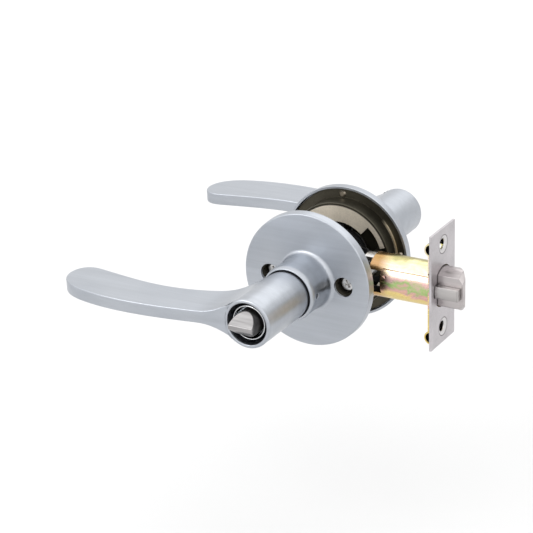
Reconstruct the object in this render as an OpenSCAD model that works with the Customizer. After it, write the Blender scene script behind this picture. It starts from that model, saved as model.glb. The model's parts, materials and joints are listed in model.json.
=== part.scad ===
// Entrance lever lockset with a spring latch and a deadlatch plunger.
// X runs along the latch to its faceplate, Y runs along the spindle to the outside, Z is up.
// The origin is on the spindle's axis, in the middle of the door's thickness.

/* [Door] */
// Thickness of the door between the two roses
door_gap = 35; // [35:0.5:45]
// Backset: spindle axis to the faceplate's outer face
backset = 60; // [60:1:70]

/* [Roses] */
// Radius of a rose at its back rim
rose_r = 33; // [33:0.5:36]
// Distance from the door to a rose's front face
rose_h = 4.7; // [4.5:0.1:5.5]
// Distance from the door to the front of the boss
boss_h = 23.5; // [22:0.5:26]
// Distance from the spindle axis to each screw
screw_x = 19.5; // [19:0.1:19.8]

/* [Levers] */
// Radius of a lever's round hub
hub_r = 11.8; // [11.7:0.1:12.2]
// Distance from the door to the end of a lever's hub
hub_end = 60.5; // [60:0.5:62]
// Half thickness of a lever's arm
arm_t = 3; // [2.5:0.1:3.5]
// How far a lever's arm droops at rest, in degrees
droop = 0.9; // [0:0.1:2]

/* [Latch] */
// Outer radius of the latch tube
tube_r = 10.45; // [10.3:0.05:10.6]
// Height of the faceplate
plate_h = 57.15; // [56:0.05:60]
// Width of the faceplate
plate_w = 25.4; // [24:0.1:26]
// Distance from the faceplate's middle to each of its screw holes
plate_screw_z = 20.65; // [20:0.05:21.5]
// How far the latch bolt stands out of its faceplate
bolt_throw = 12.7; // [12.5:0.1:13]

/* [Hidden] */

$fn = 96;
half_gap = door_gap / 2;
eps = 0.01;

// Roses and their bosses
rose_rim = 1.2;
boss_bore = 12.05;
boss_rim_r = 13.45;
access_r = 4.75;
catch_h = 18.5;
release_r = 1.25;

// Cassettes: a cup in the door's 54 mm hole, with a flange behind the rose
cup_r = 26.95;
cup_wall = 0.85;
cup_depth = 6.5;
flange_r = 31.4;
flange_low = 1.9;
flange_top = 3.1;
plate_r = 25.85;
plate_bore = 17.6;
notch_r = 23.1;
sheet = 0.9;
pocket_r = 4.5;
pocket_wall = 0.6;
pocket_low = -3.5;
rivet_orbit = 28.8;

// Drive hubs
tube_out = 9.3;
tube_in = 7.4;
run_gap = 0.06;
hub_disc_r = 13.6;
hub_disc_low = -5.1;
hub_disc_top = -2.9;
drive_end = 34.5;
circlip_low = 3.3;
spindle_w = 8;
spindle_bore = 2.26;
bar_r = 2.2;

// Lever hubs
neck_r = 11.35;
neck_low = 6.5;
neck_top = 26;
end_bore = 10;
end_bore_low = 35.5;
neck_bore = 9.35;

// Latch
tube_in_r = 9.75;
tube_start = 26;
slot_end = 32.4;
backing_x = backset - 2;
face_x = backset - 1.2;
plate_hole_r = 2.6;
countersink_r = 4.3;
countersink_depth = 0.7;
bolt_r = 9.6;
bolt_flat = 6.1;
bolt_back = backset - 13;
bolt_tip = backset + bolt_throw;
yoke_y = 4.6;
yoke_sheet = 1;
post_r = 3.8;
anchor_x = 40;
trough_z = 21.8;

steel = "silver";
zinc = "goldenrod";
dark = "dimgray";
satin = "lightsteelblue";

// ---- Curves and placing ----

// Point at t of a cubic curve through a list of four points
function cubic(p, t) = pow(1 - t, 3) * p[0] + 3 * pow(1 - t, 2) * t * p[1]
    + 3 * (1 - t) * t * t * p[2] + pow(t, 3) * p[3];
function curve(p, n) = [for (i = [1 : n]) cubic(p, i / n)];
function arc(centre, r, from, to, n) =
    [for (i = [0 : n]) centre + r * [cos(from + (to - from) * i / n), sin(from + (to - from) * i / n)]];

// Places parts drawn with z running out of the door's face
module inside_face() {
    rotate([90, 0, 0]) translate([0, 0, half_gap]) children();
}
module outside_face() {
    mirror([0, 1, 0]) inside_face() children();
}
// Places parts drawn with x to the outside, y up and z along the latch
module latch_axis() {
    rotate([90, 0, 90]) children();
}
// A block between two corners
module block(low, high) {
    translate(low) cube(high - low);
}

// A round wire along a path
function unit(v) = v / norm(v);
function heading(path, i) = unit(path[min(i + 1, len(path) - 1)] - path[max(i - 1, 0)]);
function ring(path, i, r, sides) =
    let (t = heading(path, i), n = unit(cross(t, [0, 0, 1])), b = cross(n, t))
    [for (k = [0 : sides - 1]) path[i] + r * (cos(360 * k / sides) * n + sin(360 * k / sides) * b)];
module wire(path, r, sides) {
    last = len(path) - 1;
    points = [for (i = [0 : last]) each ring(path, i, r, sides)];
    walls = [for (i = [0 : last - 1], k = [0 : sides - 1])
        let (a = i * sides, b = a + sides, next = (k + 1) % sides)
        each [[a + k, a + next, b + next], [a + k, b + next, b + k]]];
    caps = [[for (k = [0 : sides - 1]) sides - 1 - k], [for (k = [0 : sides - 1]) last * sides + k]];
    polyhedron(points, concat(walls, caps), convexity = 8);
}
// A compression spring that runs along z
module coil(r, wire_r, low, high, turns) {
    steps = 10;
    wire([for (i = [0 : turns * steps])
        [r * cos(360 * i / steps), r * sin(360 * i / steps),
         low + wire_r + (high - low - 2 * wire_r) * i / (turns * steps)]], wire_r, 6);
}

// ---- Rose, cassette and cover plate ----

module rose(access) {
    corner = 0.7;
    fillet = [[13.15, 8.6], [13.2, rose_h + 1.7], [13.9, rose_h], [15.6, rose_h]];
    wall = concat(
        [[rose_r - rose_rim, 0], [rose_r, 0], [rose_r, 0.7]],
        arc([rose_r - 0.15 - corner, rose_h - corner], corner, 8, 90, 5),
        [for (i = [0 : 6]) cubic(fillet, 1 - i / 6)],
        [[13.15, 10.5], [boss_rim_r, boss_h - 3], [boss_rim_r - 0.15, boss_h - 1.6]],
        [[12.7, boss_h - 0.2], [12.4, boss_h], [boss_bore, boss_h - 0.1], [boss_bore, flange_top + 0.2]],
        [[rose_r - rose_rim, flange_top + 0.2]]
    );
    difference() {
        rotate_extrude() polygon(wall);
        if (access)
            for (side = [-1, 1])
                translate([side * screw_x, 0, 0]) cylinder(r = access_r, h = 20);
        translate([boss_bore - 1, 0, catch_h]) rotate([0, 90, 0]) cylinder(r = release_r, h = 4, $fn = 32);
    }
}
module inside_rose() { color(satin) inside_face() rose(true); }
module outside_rose() { color(satin) outside_face() rose(false); }

// Drawn cup with a flange, and a pocket for each screw head
module cassette() {
    cup = [[tube_out + run_gap, flange_low], [cup_r - cup_wall, flange_low], [cup_r - cup_wall, -cup_depth],
        [cup_r - 0.25, -cup_depth], [cup_r, -cup_depth + 0.4], [cup_r, flange_low], [flange_r, flange_low],
        [flange_r, flange_top], [tube_out + run_gap, flange_top]];
    difference() {
        union() {
            rotate_extrude() polygon(cup);
            for (side = [-1, 1])
                translate([side * screw_x, 0, pocket_low])
                    cylinder(r = pocket_r + pocket_wall, h = flange_low - pocket_low + eps);
        }
        for (side = [-1, 1]) {
            translate([side * screw_x, 0, pocket_low + 1.2]) cylinder(r = pocket_r, h = 20);
            translate([side * screw_x, 0, pocket_low - 1]) cylinder(r = 2.7, h = 20, $fn = 48);
        }
        for (k = [0 : 3])
            rotate(94 + 90 * k) translate([rivet_orbit, 0, 0]) cylinder(r = 1.1, h = 20, $fn = 32);
    }
    // Stop for the fixed leg of the return spring
    block([-2, 13, flange_low - 1.7], [2, 17, flange_low]);
}
module inside_cassette() { color(dark) inside_face() cassette(); }
module outside_cassette() { color(dark) outside_face() cassette(); }

// A slice of a ring, from one angle to another, as a flat shape
module sector(r, from, to) {
    polygon(concat([[0, 0]], arc([0, 0], r, from, to, 8)));
}
// Flat plate with a round hole, a notch at each post and an open side for the latch
module cover_plate() {
    translate([0, 0, -cup_depth]) linear_extrude(sheet) difference() {
        circle(r = plate_r);
        circle(r = plate_bore);
        for (turn = [0, 180])
            rotate(turn) intersection() {
                circle(r = notch_r);
                sector(40, -48, 48);
            }
        sector(40, -18.7, 18.7);
    }
}
module inside_cover_plate() { color("tan") inside_face() cover_plate(); }
module outside_cover_plate() { color("tan") outside_face() cover_plate(); }

module rivets() {
    for (k = [0 : 3])
        rotate(94 + 90 * k) translate([rivet_orbit, 0, 0]) {
            translate([0, 0, flange_low - 0.7]) cylinder(r1 = 1.1, r2 = 1.7, h = 0.7, $fn = 32);
            translate([0, 0, flange_low]) cylinder(r = 1.04, h = flange_top + 0.2 - flange_low, $fn = 32);
        }
}
module inside_rose_rivets() { color("gray") inside_face() rivets(); }
module outside_rose_rivets() { color("gray") outside_face() rivets(); }

// Torsion spring round the drive hub, with two legs that point up
module return_spring() {
    turns = 2;
    r = 11.3;
    low = -1.9;
    rise = 2.9;
    leg = 16.6;
    lean = 15;
    steps = 22;
    spread = 360 * turns - 2 * lean;
    coil_path = [for (i = [0 : turns * steps])
        let (a = 90 + lean + spread * i / (turns * steps))
        [r * cos(a), r * sin(a), low + rise * i / (turns * steps)]];
    first = [leg * cos(90 + lean), leg * sin(90 + lean), low];
    last = [leg * cos(90 - lean), leg * sin(90 - lean), low + rise];
    wire(concat([first], coil_path, [last]), 0.7, 6);
}
module inside_return_spring() { color(steel) inside_face() return_spring(); }
module outside_return_spring() { color(steel) outside_face() return_spring(); }

// ---- Fixings through the door ----

module threaded_posts() {
    color(steel) outside_face() for (side = [-1, 1]) translate([side * screw_x, 0, 0]) {
        difference() {
            translate([0, 0, -2 * half_gap - pocket_low + 0.05])
                cylinder(r = post_r, h = 2 * half_gap + 2 * pocket_low - 0.05, $fn = 48);
            translate([0, 0, -2 * half_gap - pocket_low]) cylinder(r = 2.45, h = 22, $fn = 48);
        }
        translate([0, 0, pocket_low - 0.1]) cylinder(r = 2.6, h = 1.4, $fn = 48);
        translate([0, 0, pocket_low + 1.2]) cylinder(r1 = 3.9, r2 = 3, h = 1.1, $fn = 48);
    }
}
// Pan head screws with a cross recess
module through_bolts() {
    head_low = pocket_low + 1.2;
    head_h = 2.4;
    color(steel) inside_face() for (side = [-1, 1]) translate([side * screw_x, 0, 0]) {
        difference() {
            union() {
                translate([0, 0, head_low]) cylinder(r = 4, h = head_h - 0.8, $fn = 48);
                translate([0, 0, head_low + head_h - 0.8]) cylinder(r1 = 4, r2 = 3, h = 0.8, $fn = 48);
                translate([0, 0, head_low - 17]) cylinder(r = 2.4, h = 17 + eps, $fn = 48);
            }
            for (turn = [25, 115])
                rotate(turn) block([-1.9, -0.45, head_low + 0.9], [1.9, 0.45, head_low + head_h + 1]);
        }
    }
}

// ---- Lever handles ----

// The arm seen from above: x along the arm, y out of the door
function arm_outline() = concat(
    [[0, hub_end - 2]],
    curve([[0, hub_end - 2], [-28, 62.4], [-60, 69.9], [-88, 62.4]], 18),
    curve([[-88, 62.4], [-97.5, 59.9], [-103.7, 54.5], [-104, 47]], 14),
    curve([[-104, 47], [-104.1, 41], [-100.5, 36.2], [-93.5, 37.3]], 10),
    curve([[-93.5, 37.3], [-81, 39.3], [-62, 44.5], [-45, 42.1]], 12),
    curve([[-45, 42.1], [-37, 41], [-24, 39.3], [-8, 26]], 12),
    [[0, 26]]
);
// The arm seen along the spindle: its root flares into the round hub
function arm_side() =
    let (flare = curve([[-26, arm_t], [-18, arm_t], [-14, arm_t + 2.5], [-8, 8.6]], 8))
    concat([[-106, arm_t]], [[-26, arm_t]], flare, [[0, 8.6]]);
module lever_handle() {
    side = arm_side();
    hub = concat(
        [[neck_bore, neck_low], [neck_r - 0.4, neck_low], [neck_r, neck_low + 0.4], [neck_r, boss_h - 1],
         [hub_r, neck_top]],
        arc([hub_r - 1, hub_end - 1], 1, 0, 90, 5),
        [[end_bore, hub_end], [end_bore, end_bore_low], [neck_bore, end_bore_low]]
    );
    difference() {
        union() {
            rotate_extrude() polygon(hub);
            rotate(droop) difference() {
                intersection() {
                    rotate([90, 0, 0]) translate([0, 0, -20]) linear_extrude(40) polygon(arm_outline());
                    linear_extrude(100) polygon(concat(side, [for (i = [len(side) - 1 : -1 : 0])
                        [side[i][0], -side[i][1]]]));
                }
                cylinder(r = hub_r - 0.5, h = 100);
            }
        }
        translate([tube_out - 1, 0, catch_h]) rotate([0, 90, 0]) cylinder(r = 1.6, h = 4, $fn = 32);
    }
}
module inside_lever_handle() { color(satin) inside_face() lever_handle(); }
module outside_lever_handle() { color(satin) outside_face() lever_handle(); }

// Sleeve that turns in the cassette; the lever slides over it
module drive_hub(square) {
    profile = [[0, hub_disc_low], [hub_disc_r, hub_disc_low], [hub_disc_r, hub_disc_top], [tube_out, hub_disc_top],
        [tube_out, circlip_low], [tube_out - 0.4, circlip_low], [tube_out - 0.4, circlip_low + 1],
        [tube_out, circlip_low + 1], [tube_out, drive_end - 0.5], [tube_out - 0.5, drive_end],
        [tube_in, drive_end], [tube_in, hub_disc_top], [0, hub_disc_top]];
    difference() {
        union() {
            rotate_extrude() polygon(profile);
            // Lug that winds up the return spring
            block([-2, 11, hub_disc_low], [2, 16, hub_disc_top]);
        }
        translate([-square / 2, -square / 2, hub_disc_low - 1]) cube([square, square, 4]);
        translate([5, 0, catch_h]) rotate([0, 90, 0]) cylinder(r = 1.5, h = 6, $fn = 32);
    }
}
module inside_drive_hub() { color(dark) inside_face() drive_hub(spindle_w); }
module outside_drive_hub() { color(dark) outside_face() drive_hub(spindle_w + 0.3); }

module circlip() {
    translate([0, 0, circlip_low]) linear_extrude(0.9) difference() {
        circle(r = 11.4);
        circle(r = tube_out - 0.4);
        sector(20, -120, -60);
    }
}
module inside_circlip() { color(dark) inside_face() circlip(); }
module outside_circlip() { color(dark) outside_face() circlip(); }

// Pin that locks the lever to its hub; it is pressed in through the boss
module lever_catch() {
    translate([0, 0, catch_h]) rotate([0, 90, 0]) {
        translate([0, 0, 6.1]) cylinder(r = 2, h = 0.8, $fn = 32);
        translate([0, 0, 6.9 - eps]) cylinder(r = 1.4, h = 4.2, $fn = 32);
    }
}
module inside_lever_catch() { color(steel) inside_face() lever_catch(); }
module outside_lever_catch() { color(steel) outside_face() lever_catch(); }

// Leaf spring behind the catch
module catch_spring() {
    bend_r = 37;
    half_angle = 13.5;
    rotate([90, 0, 0]) translate([5.5 + bend_r, catch_h, -1.5]) linear_extrude(3)
        polygon(concat(arc([0, 0], bend_r, 180 - half_angle, 180 + half_angle, 12),
            arc([0, 0], bend_r - 0.5, 180 + half_angle, 180 - half_angle, 12)));
}
module inside_catch_spring() { color(steel) inside_face() catch_spring(); }
module outside_catch_spring() { color(steel) outside_face() catch_spring(); }

// ---- Spindle, cam and turn button ----

module spindle() {
    color(steel) rotate([90, 0, 0]) difference() {
        translate([-spindle_w / 2, -spindle_w / 2, -half_gap - 2]) cube([spindle_w, spindle_w, door_gap + 4]);
        translate([0, 0, -half_gap - 3]) cylinder(r = spindle_bore, h = door_gap + 6);
    }
}
// Hub with two fingers; the upper one draws the latch back
module retractor_cam() {
    hub_half = 4.1;
    finger_half = 3;
    color(dark) rotate([90, 0, 0]) difference() {
        union() {
            translate([0, 0, -hub_half]) cylinder(r = 7.4, h = 2 * hub_half);
            for (side = [-1, 1])
                scale([1, side, 1]) block([-1.6, 6, -finger_half], [1.6, 17, finger_half]);
        }
        translate([-spindle_w / 2, -spindle_w / 2, -10]) cube([spindle_w, spindle_w, 20]);
    }
}
// Sleeve round the turn button
module button_bezel() {
    low = end_bore_low + 0.2;
    color(steel) inside_face() difference() {
        rotate_extrude() polygon([[2.6, low], [end_bore, low], [end_bore, low + 2], [8.4, low + 2],
            [8.4, hub_end - 2.4], [8.1, hub_end - 2.1], [7.8, hub_end - 2.1], [7.65, hub_end - 2.4],
            [7.65, low + 2], [2.6, low + 2]]);
    }
}
// Round button with two slopes that leave a flat blade
module turn_button() {
    low = end_bore_low + 3.7;
    ridge = hub_end + 6.1;
    slope = hub_end - 1;
    color(steel) inside_face() difference() {
        intersection() {
            translate([0, 0, low]) cylinder(r = 6.2, h = ridge - low);
            rotate([90, 0, 90]) translate([0, 0, -10]) linear_extrude(20) polygon([
                [-6.3, low - 1], [6.3, low - 1], [6.3, slope], [1, ridge], [-1, ridge], [-6.3, slope]]);
        }
        translate([0, 0, low - 1]) cylinder(r = bar_r + 0.05, h = 6);
    }
}
// Bar from the turn button to the outside lever's lock
module locking_bar() {
    inner = half_gap + end_bore_low + 8;
    outer = half_gap + end_bore_low + 1;
    color(steel) rotate([90, 0, 0]) translate([0, 0, -outer]) cylinder(r = bar_r, h = inner + outer);
}

// ---- Key cylinder in the outside lever ----

pin_count = 5;
function pin_h(i) = end_bore_low + 5.5 + 3.5 * i;
module radial_pins(r, from, to) {
    for (i = [0 : pin_count - 1])
        translate([0, from, pin_h(i)]) rotate([-90, 0, 0]) cylinder(r = r, h = to - from, $fn = 24);
}
module key_cylinder() {
    color(steel) outside_face() difference() {
        translate([0, 0, end_bore_low + 1.5]) cylinder(r = end_bore - 0.02, h = hub_end - end_bore_low - 2.7);
        cylinder(r = 6.35, h = 100);
        radial_pins(1.3, 5, 9.5);
    }
}
module key_plug() {
    low = end_bore_low + 3;
    color("gold") outside_face() difference() {
        union() {
            translate([0, 0, low]) cylinder(r = 6.28, h = hub_end - low);
            translate([0, 0, hub_end - 1.1]) cylinder(r = 7.2, h = 0.8);
        }
        block([-0.9, -5, low - 1], [0.9, 3.2, hub_end + 1]);
        radial_pins(1.3, 3, 7);
    }
}
module key_pins() { color("gold") outside_face() radial_pins(1.2, 3.3, 6.1); }
module driver_pins() { color(steel) outside_face() radial_pins(1.2, 6.5, 9.3); }

// ---- Latch ----

module latch_tube() {
    seam_angle = 141;
    color(zinc) latch_axis() difference() {
        translate([0, 0, tube_start]) cylinder(r = tube_r, h = backing_x - tube_start);
        translate([0, 0, tube_start - 1]) cylinder(r = tube_in_r, h = backing_x);
        // Open sides at the inner end, which clear the posts
        block([-20, -5.5, tube_start - 1], [20, 5.5, slot_end]);
        // Seam, and the stake beside it
        rotate(seam_angle) block([tube_r - 0.25, -0.2, 33], [tube_r + 1, 0.2, backing_x - 2]);
        rotate(161) translate([tube_r - 0.3, 0, 34.8]) rotate([0, 90, 0]) cylinder(r = 0.6, h = 2, $fn = 24);
    }
}
// Two curved prongs inside the tube's end
module latch_tail_guide() {
    prong_start = 21;
    prong_end = 33.5;
    color(steel) latch_axis() intersection() {
        difference() {
            translate([0, 0, prong_start]) cylinder(r = tube_in_r, h = prong_end - prong_start);
            translate([0, 0, prong_start - 1]) cylinder(r = tube_in_r - 1.1, h = 20);
        }
        for (side = [-1, 1])
            scale([1, side, 1]) block([-3.4, 7, prong_start - 1], [3.4, 11, prong_end + 1]);
    }
}
// Outline of the hole for the bolt and its plunger
module bolt_hole(r) {
    intersection() {
        circle(r = r);
        translate([-bolt_flat - 0.5, -20]) square(40);
    }
    intersection() {
        circle(r = r);
        translate([-20, -3.2]) square([20, 6.4]);
    }
}
module faceplate() {
    color("gainsboro") latch_axis() difference() {
        block([-plate_w / 2, -plate_h / 2, face_x], [plate_w / 2, plate_h / 2, backset]);
        translate([0, 0, face_x - 1]) linear_extrude(3) bolt_hole(bolt_r + 0.45);
        for (side = [-1, 1])
            translate([0, side * plate_screw_z, 0]) {
                translate([0, 0, face_x - 1]) cylinder(r = plate_hole_r, h = 3, $fn = 48);
                translate([0, 0, backset - countersink_depth])
                    cylinder(r1 = plate_hole_r, r2 = countersink_r, h = countersink_depth + eps, $fn = 48);
            }
    }
}
// Plate behind the faceplate, with a trough behind each screw hole
module backing_plate() {
    trough_r = 3.32;
    trough_x = face_x - 2.6 + trough_r;
    half_w = plate_w / 2 - 0.2;
    edge = trough_z - 2.4;
    color(zinc) difference() {
        union() {
            block([backing_x, -half_w, -edge], [face_x, half_w, edge]);
            for (side = [-1, 1])
                translate([trough_x, 0, side * trough_z]) rotate([90, 0, 0]) intersection() {
                    difference() {
                        translate([0, 0, -half_w]) cylinder(r = trough_r, h = 2 * half_w);
                        translate([0, 0, -half_w - 1]) cylinder(r = trough_r - 0.7, h = 2 * half_w + 2);
                    }
                    block([-10, -10, -half_w], [face_x - trough_x, 10, half_w]);
                }
        }
        latch_axis() linear_extrude(100) bolt_hole(bolt_r + 0.2);
        for (side = [-1, 1])
            translate([50, 0, side * plate_screw_z]) rotate([0, 90, 0]) cylinder(r = 2.8, h = 20, $fn = 48);
    }
}
// Cross bar in the tube; the bolt spring pushes against it
module spring_anchor() {
    color(steel) intersection() {
        block([anchor_x - 1, -1.2, -12], [anchor_x + 1, 1.2, 12]);
        rotate([0, 90, 0]) cylinder(r = tube_in_r, h = 60);
    }
}
module bolt_spring() {
    color(steel) latch_axis() coil(2.5, 0.4, anchor_x + 1.1, backset + 6.8, 9);
}
module latch_bolt() {
    bore_r = 3.2;
    ease = 2;
    slot_x = anchor_x + 14;
    color(steel) difference() {
        latch_axis() intersection() {
            union() {
                translate([0, 0, bolt_back]) cylinder(r = bolt_r, h = bolt_tip - bolt_back - ease);
                translate([0, 0, bolt_tip - ease - eps])
                    cylinder(r1 = bolt_r, r2 = bolt_r - ease, h = ease + eps);
            }
            block([-bolt_flat, -20, bolt_back], [20, 20, bolt_tip]);
        }
        // Bevel that meets the strike as the door closes
        translate([0, 0, -20]) linear_extrude(40) polygon([[bolt_tip + 1, -3.2], [bolt_tip, -3.2],
            [backset + 2, bolt_r + 0.1], [backset + 2, 20], [bolt_tip + 1, 20]]);
        rotate([0, 90, 0]) cylinder(r = bore_r, h = backset + 7);
        block([bolt_back - 1, -1.4, -20], [slot_x, 1.4, 20]);
        for (side = [-1, 1])
            scale([1, side, 1]) block([bolt_back - 1, yoke_y, -6.9], [bolt_back + 6, yoke_y + yoke_sheet, 6.9]);
    }
}
// Upper half of a yoke plate: x along the latch, y up
function yoke_half() = [[-4.5, 6.1], [-4.5, 17.6], [0.5, 17.6], [8, 10.5], [18.4, 9], [20.6, 6.8],
    [bolt_back + 6, 6.8], [bolt_back + 6, 0], [35.8, 0], [35.8, 4.2], [18.3, 4.2], [18.3, 6.1]];
module retractor_yoke() {
    color(dark) for (up = [-1, 1]) scale([1, 1, up]) {
        for (side = [-1, 1])
            scale([1, side, 1]) translate([0, yoke_y + yoke_sheet, 0]) rotate([90, 0, 0])
                linear_extrude(yoke_sheet) polygon(yoke_half());
        // Hook that a finger of the cam pulls
        block([-3.2, -yoke_y - eps, 10], [-2, yoke_y + eps, 17.4]);
    }
    // Seat of the plunger spring
    color(dark) block([35.8, -9.2, -2.4], [36.9, -yoke_y, 2.4]);
}
module deadlatch_plunger() {
    back = backset - 12;
    front = backset + 11.6;
    color(steel) latch_axis() intersection() {
        union() {
            translate([0, 0, back]) cylinder(r = bolt_r - 0.1, h = front - back - 0.5);
            translate([0, 0, front - 0.5 - eps]) cylinder(r1 = bolt_r - 0.1, r2 = bolt_r - 0.6, h = 0.5 + eps);
        }
        block([-20, -2.9, back], [-bolt_flat - 0.15, 2.9, front]);
    }
}
module plunger_spring() {
    color(steel) latch_axis() translate([-7.8, 0, 0]) coil(1.1, 0.2, 36.95, backset - 12.05, 6);
}

inside_rose();
outside_rose();
inside_cassette();
outside_cassette();
inside_cover_plate();
outside_cover_plate();
inside_rose_rivets();
outside_rose_rivets();
threaded_posts();
through_bolts();
inside_return_spring();
outside_return_spring();
latch_tube();
latch_tail_guide();
faceplate();
backing_plate();
spring_anchor();
bolt_spring();
inside_lever_handle();
inside_drive_hub();
inside_circlip();
spindle();
retractor_cam();
button_bezel();
inside_catch_spring();
turn_button();
locking_bar();
inside_lever_catch();
outside_lever_catch();
latch_bolt();
retractor_yoke();
deadlatch_plunger();
plunger_spring();
key_plug();
key_pins();
outside_lever_handle();
outside_drive_hub();
outside_circlip();
key_cylinder();
driver_pins();
outside_catch_spring();
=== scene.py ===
"""Looks of a door lever lockset: metal finishes, eased edges, studio light, floor and camera."""

import json
import math

import bpy
from mathutils import Matrix, Vector


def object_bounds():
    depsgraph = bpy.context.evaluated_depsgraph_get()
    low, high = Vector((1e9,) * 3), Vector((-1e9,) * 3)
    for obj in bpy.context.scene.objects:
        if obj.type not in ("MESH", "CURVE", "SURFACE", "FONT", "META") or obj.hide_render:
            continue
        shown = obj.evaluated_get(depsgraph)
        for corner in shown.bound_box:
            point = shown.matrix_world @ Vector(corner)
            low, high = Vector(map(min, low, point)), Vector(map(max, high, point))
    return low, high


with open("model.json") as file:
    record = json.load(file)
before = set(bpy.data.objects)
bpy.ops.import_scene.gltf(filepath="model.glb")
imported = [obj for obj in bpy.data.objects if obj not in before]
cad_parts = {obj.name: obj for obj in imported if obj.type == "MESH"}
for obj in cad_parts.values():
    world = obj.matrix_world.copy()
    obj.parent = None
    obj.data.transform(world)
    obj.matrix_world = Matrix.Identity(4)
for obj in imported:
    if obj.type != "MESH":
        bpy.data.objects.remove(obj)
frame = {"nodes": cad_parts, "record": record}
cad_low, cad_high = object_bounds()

MM = 0.001
nodes = frame["nodes"]

# ---------------------------------------------------------------- shader helpers


def node_adder(tree):
    """A function that adds a node to the tree, with inputs = {socket: value or source socket}."""

    def add(kind, inputs=None, **settings):
        node = tree.nodes.new(kind)
        for key, value in settings.items():
            setattr(node, key, value)
        for key, value in (inputs or {}).items():
            if isinstance(value, bpy.types.NodeSocket):
                tree.links.new(value, node.inputs[key])
            else:
                node.inputs[key].default_value = value
        return node

    return add


def start_material(name, base, metallic, roughness):
    """A Principled material with plain values, as (material, add, link, object coordinates).

    add makes a node, and link joins a socket to an input of the shader.
    """
    material = bpy.data.materials.new(name)
    material.use_nodes = True
    tree = material.node_tree
    shader = tree.nodes["Principled BSDF"]
    shader.inputs["Base Color"].default_value = (*base, 1)
    shader.inputs["Metallic"].default_value = metallic
    shader.inputs["Roughness"].default_value = roughness

    add = node_adder(tree)

    def link(source, socket):
        tree.links.new(source, shader.inputs[socket])

    coordinates = add("ShaderNodeTexCoord").outputs["Object"]
    return material, add, link, coordinates


def noise(add, coordinates, per_metre, detail=3.0, roughness=0.55, distortion=0.0):
    """Noise whose grain has per_metre = (x, y, z) features in each metre."""
    mapping = add("ShaderNodeMapping", {"Vector": coordinates, "Scale": per_metre})
    inputs = {"Vector": mapping.outputs[0], "Scale": 1.0, "Detail": detail,
              "Roughness": roughness, "Distortion": distortion}
    return add("ShaderNodeTexNoise", inputs).outputs["Fac"]


def ramp(add, factor, stops):
    """A colour ramp through stops = [(place, (r, g, b)), ...]."""
    node = add("ShaderNodeValToRGB", {"Fac": factor})
    elements = node.color_ramp.elements
    while len(elements) < len(stops):
        elements.new(0.5)
    for element, (place, colour) in zip(elements, stops):
        element.position = place
        element.color = (*colour, 1)
    return node.outputs["Color"]


def remap(add, value, low, high, to_low, to_high):
    """value from low..high to to_low..to_high, held at its ends."""
    inputs = {"Value": value, "From Min": low, "From Max": high, "To Min": to_low, "To Max": to_high}
    return add("ShaderNodeMapRange", inputs).outputs["Result"]


def multiply(add, first, second):
    """One colour times another, as a socket."""
    inputs = {0: 1.0, 6: first, 7: second}
    return add("ShaderNodeMix", inputs, data_type="RGBA", blend_type="MULTIPLY").outputs[2]


def calculate(add, operation, first, second):
    """A maths node on two values, each a socket or a number."""
    return add("ShaderNodeMath", {0: first, 1: second}, operation=operation).outputs[0]


def within(add, value, low, high, soft):
    """1 where value lies from low to high, falling to 0 over soft beyond each end."""
    rise = remap(add, value, low - soft, low, 0, 1)
    fall = remap(add, value, high, high + soft, 1, 0)
    return calculate(add, "MULTIPLY", rise, fall)


def paint(add, base, colour, mask):
    """The base colour turned into another colour as far as the mask says."""
    inputs = {0: mask, 6: base, 7: (*colour, 1)}
    return add("ShaderNodeMix", inputs, data_type="RGBA", blend_type="MIX").outputs[2]


def split(add, coordinates):
    """The x, y and z of the coordinates, each as a socket."""
    return add("ShaderNodeSeparateXYZ", {0: coordinates}).outputs[:]


def round_spindle(add, coordinates):
    """Distance from the spindle axis in metres, and the angle from +X towards +Z in degrees."""
    x, _, z = split(add, coordinates)
    across = add("ShaderNodeCombineXYZ", {0: x, 1: z}).outputs[0]
    radius = add("ShaderNodeVectorMath", {0: across}, operation="LENGTH").outputs["Value"]
    turn = calculate(add, "ARCTAN2", z, x)
    return radius, calculate(add, "MULTIPLY", turn, 180 / math.pi)


def bump(add, link, heights):
    """Adds surface relief from heights = [(height socket, depth in mm, strength), ...]."""
    normal = None
    for height, depth, strength in heights:
        inputs = {"Height": height, "Distance": depth * MM, "Strength": strength}
        if normal is not None:
            inputs["Normal"] = normal
        normal = add("ShaderNodeBump", inputs).outputs["Normal"]
    link(normal, "Normal")


# ---------------------------------------------------------------- metal finishes

# Features in each metre along x, y and z.
BRUSHED_X = (40, 1500, 1500)
WIDE_X = (9, 260, 260)
CLOUDS = (38, 38, 38)
GRAIN = (1400, 1400, 1400)


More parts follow.
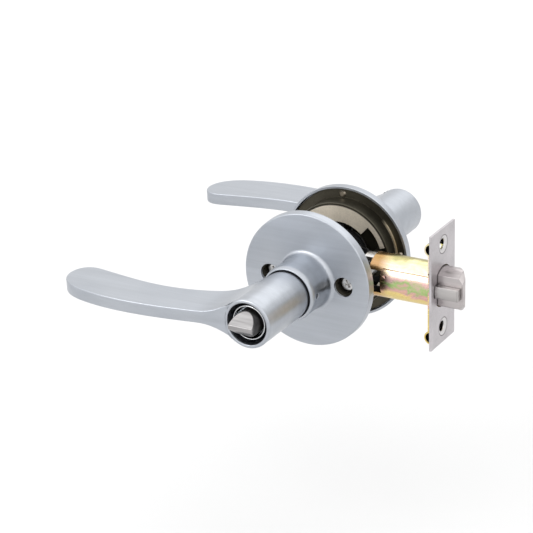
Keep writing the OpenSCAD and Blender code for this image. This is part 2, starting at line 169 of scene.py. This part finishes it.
def satin_metal(name, tone, streak, wide_streak, rough, contrast=0.05, face_rough=None):
    """Brushed metal: fine lines in the colour, the gloss and the surface, over soft clouds of tone.

    face_rough is the coarser finish of the flats that face along the spindle.
    """
    material, add, link, at = start_material(name, tone, 1.0, rough)
    fine = noise(add, at, streak, 3.0)
    wide = noise(add, at, wide_streak, 2.0)
    cloud = noise(add, at, CLOUDS, 2.0)
    darker = tuple(c * (1 - contrast) for c in tone)
    lighter = tuple(min(1.0, c * (1 + contrast)) for c in tone)
    lines = ramp(add, wide, [(0.3, darker), (0.5, tone), (0.7, lighter)])
    hairs = ramp(add, fine, [(0.3, (0.94, 0.94, 0.94)), (0.7, (1, 1, 1))])
    patches = ramp(add, cloud, [(0.35, (0.94, 0.945, 0.955)), (0.65, (1, 1, 1))])
    link(multiply(add, multiply(add, lines, hairs), patches), "Base Color")
    gloss = remap(add, fine, 0.3, 0.7, rough - 0.02, rough + 0.02)
    if face_rough is not None:
        _, along, _ = split(add, add("ShaderNodeNewGeometry").outputs["Normal"])
        facing = calculate(add, "ABSOLUTE", along, 0.0)
        gloss = calculate(add, "ADD", gloss, remap(add, facing, 0.7, 0.98, 0, face_rough - rough))
    link(gloss, "Roughness")
    bump(add, link, [(wide, 0.03, 0.04)])
    return material


def plated(name, tone, rough, metallic=1.0, spots=0.12, marks=()):
    """Plated or phosphated steel with fine grain and clouds, and marks painted on top.

    marks = [(colour, mask function), ...]
    """
    material, add, link, at = start_material(name, tone, metallic, rough)
    grain = noise(add, at, GRAIN, 3.0)
    cloud = noise(add, at, (90, 90, 90), 4.0, 0.6)
    low = tuple(c * (1 - 2 * spots) for c in tone)
    high = tuple(min(1.0, c * (1 + spots)) for c in tone)
    clouds = ramp(add, cloud, [(0.3, low), (0.55, tone), (0.75, high)])
    specks = ramp(add, grain, [(0.3, (0.88, 0.88, 0.88)), (0.6, (1, 1, 1))])
    colour = multiply(add, clouds, specks)
    for mark, mask in marks:
        colour = paint(add, colour, mark, mask(add, at))
    link(colour, "Base Color")
    link(remap(add, cloud, 0.3, 0.7, rough - 0.06, rough + 0.08), "Roughness")
    bump(add, link, [(grain, 0.02, 0.3)])
    return material


# Places of the painted marks, in millimetres and degrees.
CUP_WALL_R = (26.4, 26.7)
CUP_FLANGE_R = (27.2, 27.4)
BAND_DEPTH = (17.9, 19.3)
BAND_ANGLE = (7, 36)
PLATE_RIM_R = (25.5, 25.75)
TROUGH_FLOOR_X = (58.35, 58.55)
TROUGH_END_Z = (19.3, 19.7)
TROUGH_SIDE_Y = (11.9, 12.2)
COUNTERSINK_RIM_R = (4.3, 4.6)
COUNTERSINK_CONE_R = (4.1, 4.2)


def cup_wall_painted_highlight(add, at):
    """A painted highlight: a bright band on the outside cup's wall beside its flange, on the latch side.
    """
    _, y, _ = split(add, at)
    radius, angle = round_spindle(add, at)
    on_wall = remap(add, radius, CUP_WALL_R[0] * MM, CUP_WALL_R[1] * MM, 0, 1)
    inside_flange = remap(add, radius, CUP_FLANGE_R[0] * MM, CUP_FLANGE_R[1] * MM, 1, 0)
    along = within(add, y, BAND_DEPTH[0] * MM, BAND_DEPTH[1] * MM, 0.3 * MM)
    around = within(add, angle, *BAND_ANGLE, 9)
    strip = calculate(add, "MULTIPLY", calculate(add, "MULTIPLY", on_wall, inside_flange), along)
    return calculate(add, "MULTIPLY", strip, around)


def plate_rim_painted_shade(add, at):
    """Painted shade over a cover plate, from its rim outwards."""
    radius, _ = round_spindle(add, at)
    return remap(add, radius, PLATE_RIM_R[0] * MM, PLATE_RIM_R[1] * MM, 0, 0.9)


def trough_painted_shade(add, at):
    """Painted shade in the two troughs behind the faceplate's screw holes."""
    x, y, z = split(add, at)
    height = calculate(add, "ABSOLUTE", z, 0.0)
    width = calculate(add, "ABSOLUTE", y, 0.0)
    deep = remap(add, x, TROUGH_FLOOR_X[0] * MM, TROUGH_FLOOR_X[1] * MM, 1, 0)
    outer = remap(add, height, TROUGH_END_Z[0] * MM, TROUGH_END_Z[1] * MM, 0, 1)
    inner = remap(add, width, TROUGH_SIDE_Y[0] * MM, TROUGH_SIDE_Y[1] * MM, 1, 0)
    return calculate(add, "MULTIPLY", calculate(add, "MULTIPLY", deep, outer), inner)


PLATE_SCREWS = next(m for m in frame["record"]["mounts"] if m["name"] == "faceplate_screws")
SCREW_HEIGHT = PLATE_SCREWS["dims"]["spacing_y_mm"] / 2 * MM


def round_screws(add, at):
    """Distance from the axis of the nearer faceplate screw, in metres."""
    _, y, z = split(add, at)
    height = calculate(add, "SUBTRACT", calculate(add, "ABSOLUTE", z, 0.0), SCREW_HEIGHT)
    across = add("ShaderNodeCombineXYZ", {0: y, 1: height}).outputs[0]
    return add("ShaderNodeVectorMath", {0: across}, operation="LENGTH").outputs["Value"]


def countersink_rim(add, at):
    """The dark line round each countersink."""
    low, high = COUNTERSINK_RIM_R
    line = within(add, round_screws(add, at), low * MM, high * MM, 0.15 * MM)
    return calculate(add, "MULTIPLY", line, 0.75)


def countersink_cone(add, at):
    """The bright turned metal inside each countersink."""
    low, high = COUNTERSINK_CONE_R
    return remap(add, round_screws(add, at), low * MM, high * MM, 0.55, 0)


# The tube's seam, as a share of half a turn from the tube's front, and its width.
SEAM_TURN = 39 / 180
SEAM_WIDTH = 0.007
SEAM_SOFT = 0.004


def yellow_zinc(name, marks=()):
    """Yellow chromate on zinc: thin-film tints that run round the tube and drift in soft patches; the
    ramp round the tube also holds a painted highlight band on the upper front.
    """
    material, add, link, at = start_material(name, (0.8, 0.66, 0.33), 1.0, 0.24)
    x, y, z = split(add, at)
    turn = calculate(add, "ARCTAN2", z, calculate(add, "MULTIPLY", y, -1.0))
    turn = calculate(add, "MULTIPLY", turn, 1 / math.pi)
    drift = noise(add, at, (120, 90, 150), 2.0, 0.55, 0.9)
    shift = remap(add, drift, 0.3, 0.7, -0.09, 0.09)
    place = remap(add, calculate(add, "ADD", turn, shift), -0.7, 0.7, 0, 1)
    # Colours round the tube from bottom to top: thin-film tints, with a painted highlight band at the
    # pale stops near 0.63 and 0.70.
    film_and_highlight = ramp(add, place, [
        (0.00, (0.62, 0.42, 0.12)),
        (0.28, (0.74, 0.56, 0.18)),
        (0.40, (0.84, 0.66, 0.26)),
        (0.47, (0.74, 0.42, 0.40)),
        (0.515, (0.38, 0.56, 0.20)),
        (0.565, (0.76, 0.48, 0.46)),
        (0.63, (0.82, 0.68, 0.48)),
        (0.70, (0.88, 0.74, 0.62)),
        (0.79, (0.82, 0.74, 0.42)),
        (0.88, (0.40, 0.36, 0.15)),
        (1.00, (0.50, 0.40, 0.14)),
    ])
    grain = noise(add, at, (60, 900, 900), 3.0)
    hairs = ramp(add, grain, [(0.3, (0.88, 0.88, 0.88)), (0.7, (1, 1, 1))])
    colour = multiply(add, film_and_highlight, hairs)
    seam = within(add, turn, SEAM_TURN - SEAM_WIDTH, SEAM_TURN, SEAM_SOFT)
    colour = paint(add, colour, (0.10, 0.06, 0.03), seam)
    # Painted reflection: orange-brown towards the tube's inner end, from 36 mm inwards.
    inner_end_reflection = remap(add, x, 30 * MM, 36 * MM, 0.85, 0)
    colour = paint(add, colour, (0.42, 0.22, 0.07), inner_end_reflection)
    for mark, mask in marks:
        colour = paint(add, colour, mark, mask(add, at))
    link(colour, "Base Color")
    link(remap(add, grain, 0.3, 0.7, 0.2, 0.3), "Roughness")
    bump(add, link, [(grain, 0.02, 0.12), (drift, 0.1, 0.1)])
    return material


FINISHES = {
    "satin_chrome": satin_metal("satin_chrome", (0.438, 0.46, 0.495), BRUSHED_X, WIDE_X, 0.32,
                                face_rough=0.42),
    # dark_steel carries a painted highlight band on the outside cup's wall.
    "dark_steel": plated("dark_steel", (0.075, 0.068, 0.05), 0.42, 0.85,
                         marks=[((0.75, 0.68, 0.55), cup_wall_painted_highlight)]),
    # zinc_plate carries painted shade from the cover plate's rim outwards.
    "zinc_plate": plated("zinc_plate", (0.68, 0.62, 0.52), 0.48, 0.55, 0.07,
                         marks=[((0.04, 0.036, 0.03), plate_rim_painted_shade)]),
    "rivet_steel": plated("rivet_steel", (0.40, 0.35, 0.28), 0.35),
    "bright_steel": plated("bright_steel", (0.72, 0.71, 0.70), 0.3),
    "spring_steel": satin_metal("spring_steel", (0.5, 0.5, 0.49), BRUSHED_X, WIDE_X, 0.3),
    "yellow_zinc": yellow_zinc("yellow_zinc"),
    "stainless": plated("stainless", (0.56, 0.535, 0.55), 0.4, 1.0, 0.08),
    "black_steel": plated("black_steel", (0.03, 0.03, 0.032), 0.45, 0.6, 0.2),
    "bright_chrome": satin_metal("bright_chrome", (0.72, 0.73, 0.74), BRUSHED_X, WIDE_X, 0.14, 0.02),
    "satin_nickel": satin_metal("satin_nickel", (0.44, 0.42, 0.41), BRUSHED_X, WIDE_X, 0.32, 0.12),
    "brass": satin_metal("brass", (0.70, 0.54, 0.27), (1200, 60, 1200), (300, 20, 300), 0.26),
}
OWN_FINISHES = {
    "faceplate": plated("stainless_plate", (0.56, 0.535, 0.55), 0.4, 1.0, 0.08,
                        marks=[((0.74, 0.73, 0.72), countersink_cone),
                               ((0.08, 0.07, 0.07), countersink_rim)]),
    # The backing plate's troughs carry painted shade, nearly black.
    "backing_plate": yellow_zinc("yellow_zinc_plate", [((0.012, 0.012, 0.01), trough_painted_shade)]),
    "latch_bolt": satin_metal("bolt_nickel", (0.49, 0.455, 0.45), (60, 1200, 1200), WIDE_X, 0.3, 0.12),
    "turn_button": satin_metal("button_nickel", (0.36, 0.35, 0.35), BRUSHED_X, (60, 900, 900), 0.33, 0.2),
}

for row in frame["record"]["subparts"]:
    mesh = nodes[row["node"]].data
    mesh.materials.clear()
    mesh.materials.append(OWN_FINISHES.get(row["node"], FINISHES[row["material_slot"]]))

# ---------------------------------------------------------------- eased edges on the CAD nodes

WELD = 0.004 * MM
FLAT_ANGLE = math.radians(0.6)
EDGE_ANGLE = math.radians(32)


def ease_edges(node, width, segments=2):
    """Rounds a CAD node's sharp edges by width millimetres, in modifiers only."""
    piece = nodes[node]
    piece.modifiers.new("weld", "WELD").merge_threshold = WELD
    flat = piece.modifiers.new("flat", "DECIMATE")
    flat.decimate_type = "DISSOLVE"
    flat.angle_limit = FLAT_ANGLE
    edge = piece.modifiers.new("edge", "BEVEL")
    edge.width = width * MM
    edge.segments = segments
    edge.limit_method = "ANGLE"
    edge.angle_limit = EDGE_ANGLE
    edge.use_clamp_overlap = False
    edge.miter_outer = "MITER_ARC"
    shade = piece.modifiers.new("shade", "WEIGHTED_NORMAL")
    shade.weight = 50
    shade.keep_sharp = False


# Width of the eased edges in millimetres; small on pieces that slide past others.
EASED = {
    "inside_lever_handle": 0.5, "outside_lever_handle": 0.5,
    "inside_rose": 0.15, "outside_rose": 0.15,
    "faceplate": 0.15, "backing_plate": 0.15, "latch_bolt": 0.12, "deadlatch_plunger": 0.12,
    "turn_button": 0.35, "button_bezel": 0.12, "latch_tube": 0.1, "latch_tail_guide": 0.12,
    "inside_cover_plate": 0.1, "outside_cover_plate": 0.1,
    "inside_cassette": 0.1, "outside_cassette": 0.1,
    "through_bolts": 0.12, "key_cylinder": 0.3, "key_plug": 0.12,
}
for name, width in EASED.items():
    ease_edges(name, width)

# ---------------------------------------------------------------- floor, light and camera

FLOOR_DROP = 0.10
FLOOR_HALF = 8.0
FLOOR_GREY = 0.64
SKY = [(0.0, 0.66), (0.35, 0.74), (0.6, 0.95), (1.0, 1.0)]
FRONT_LIGHT = 1.8
BACK_LIGHT = 1.5
CAMERA_ANGLES = (30.168, 22.673, -1.736)
CAMERA_DISTANCE = 1.0
CAMERA_ACROSS = -29.44
CAMERA_UP = -1.28
LENS = 142.08


def add_floor():
    """A plain pale floor below the object."""
    size, height = FLOOR_HALF, cad_low.z - FLOOR_DROP
    mesh = bpy.data.meshes.new("floor")
    corners = [(-size, -size, height), (size, -size, height), (size, size, height), (-size, size, height)]
    mesh.from_pydata(corners, [], [(0, 1, 2, 3)])
    floor = bpy.data.objects.new("floor", mesh)
    bpy.context.scene.collection.objects.link(floor)
    material = bpy.data.materials.new("floor")
    material.use_nodes = True
    shader = material.node_tree.nodes["Principled BSDF"]
    shader.inputs["Base Color"].default_value = (FLOOR_GREY, FLOOR_GREY, FLOOR_GREY, 1)
    shader.inputs["Roughness"].default_value = 0.9
    mesh.materials.append(material)


def add_softbox(name, place, aim, width, height, watts):
    """A rectangular studio light at place, facing aim, both in metres."""
    data = bpy.data.lights.new(name, "AREA")
    data.shape = "RECTANGLE"
    data.size = width
    data.size_y = height
    data.energy = watts
    light = bpy.data.objects.new(name, data)
    bpy.context.scene.collection.objects.link(light)
    light.location = place
    light.rotation_mode = "QUATERNION"
    light.rotation_quaternion = (Vector(aim) - Vector(place)).to_track_quat("-Z", "Y")


def add_world():
    """A soft pale surround, brighter overhead and in front than behind."""
    world = bpy.data.worlds.new("studio")
    bpy.context.scene.world = world
    world.use_nodes = True
    tree = world.node_tree
    add = node_adder(tree)
    _, y, z = split(add, add("ShaderNodeTexCoord").outputs["Generated"])
    rise = ramp(add, z, [(height, (light, light, light)) for height, light in SKY])
    front = remap(add, y, -0.5, 0.3, FRONT_LIGHT, BACK_LIGHT)
    tree.links.new(rise, tree.nodes["Background"].inputs["Color"])
    tree.links.new(front, tree.nodes["Background"].inputs["Strength"])


def add_camera():
    """A long lens from the front right, above; its roll and framing are the product view's."""
    azimuth, elevation, roll = (math.radians(angle) for angle in CAMERA_ANGLES)
    back = Vector((math.sin(azimuth) * math.cos(elevation),
                   -math.cos(azimuth) * math.cos(elevation), math.sin(elevation)))
    level = Vector((math.cos(azimuth), math.sin(azimuth), 0))
    upright = back.cross(level)
    right = level * math.cos(roll) + upright * math.sin(roll)
    up = upright * math.cos(roll) - level * math.sin(roll)
    data = bpy.data.cameras.new("camera")
    data.sensor_width = 36
    data.lens = LENS
    camera = bpy.data.objects.new("camera", data)
    bpy.context.scene.collection.objects.link(camera)
    camera.matrix_world = Matrix((
        (right.x, up.x, back.x, 0), (right.y, up.y, back.y, 0), (right.z, up.z, back.z, 0), (0, 0, 0, 1)))
    camera.location = back * CAMERA_DISTANCE + right * CAMERA_ACROSS * MM + up * CAMERA_UP * MM
    bpy.context.scene.camera = camera


add_floor()
add_softbox("key", (-0.75, -1.2, 1.0), (0, 0, 0), 1.1, 0.8, 7)
add_softbox("back", (0.0, 1.2, 1.1), (0, 0, 0), 1.6, 0.6, 2)
add_softbox("side", (1.5, -0.1, 0.6), (0, 0, 0), 0.6, 1.0, 1)
add_world()
add_camera()
bpy.context.scene.view_settings.view_transform = "Standard"
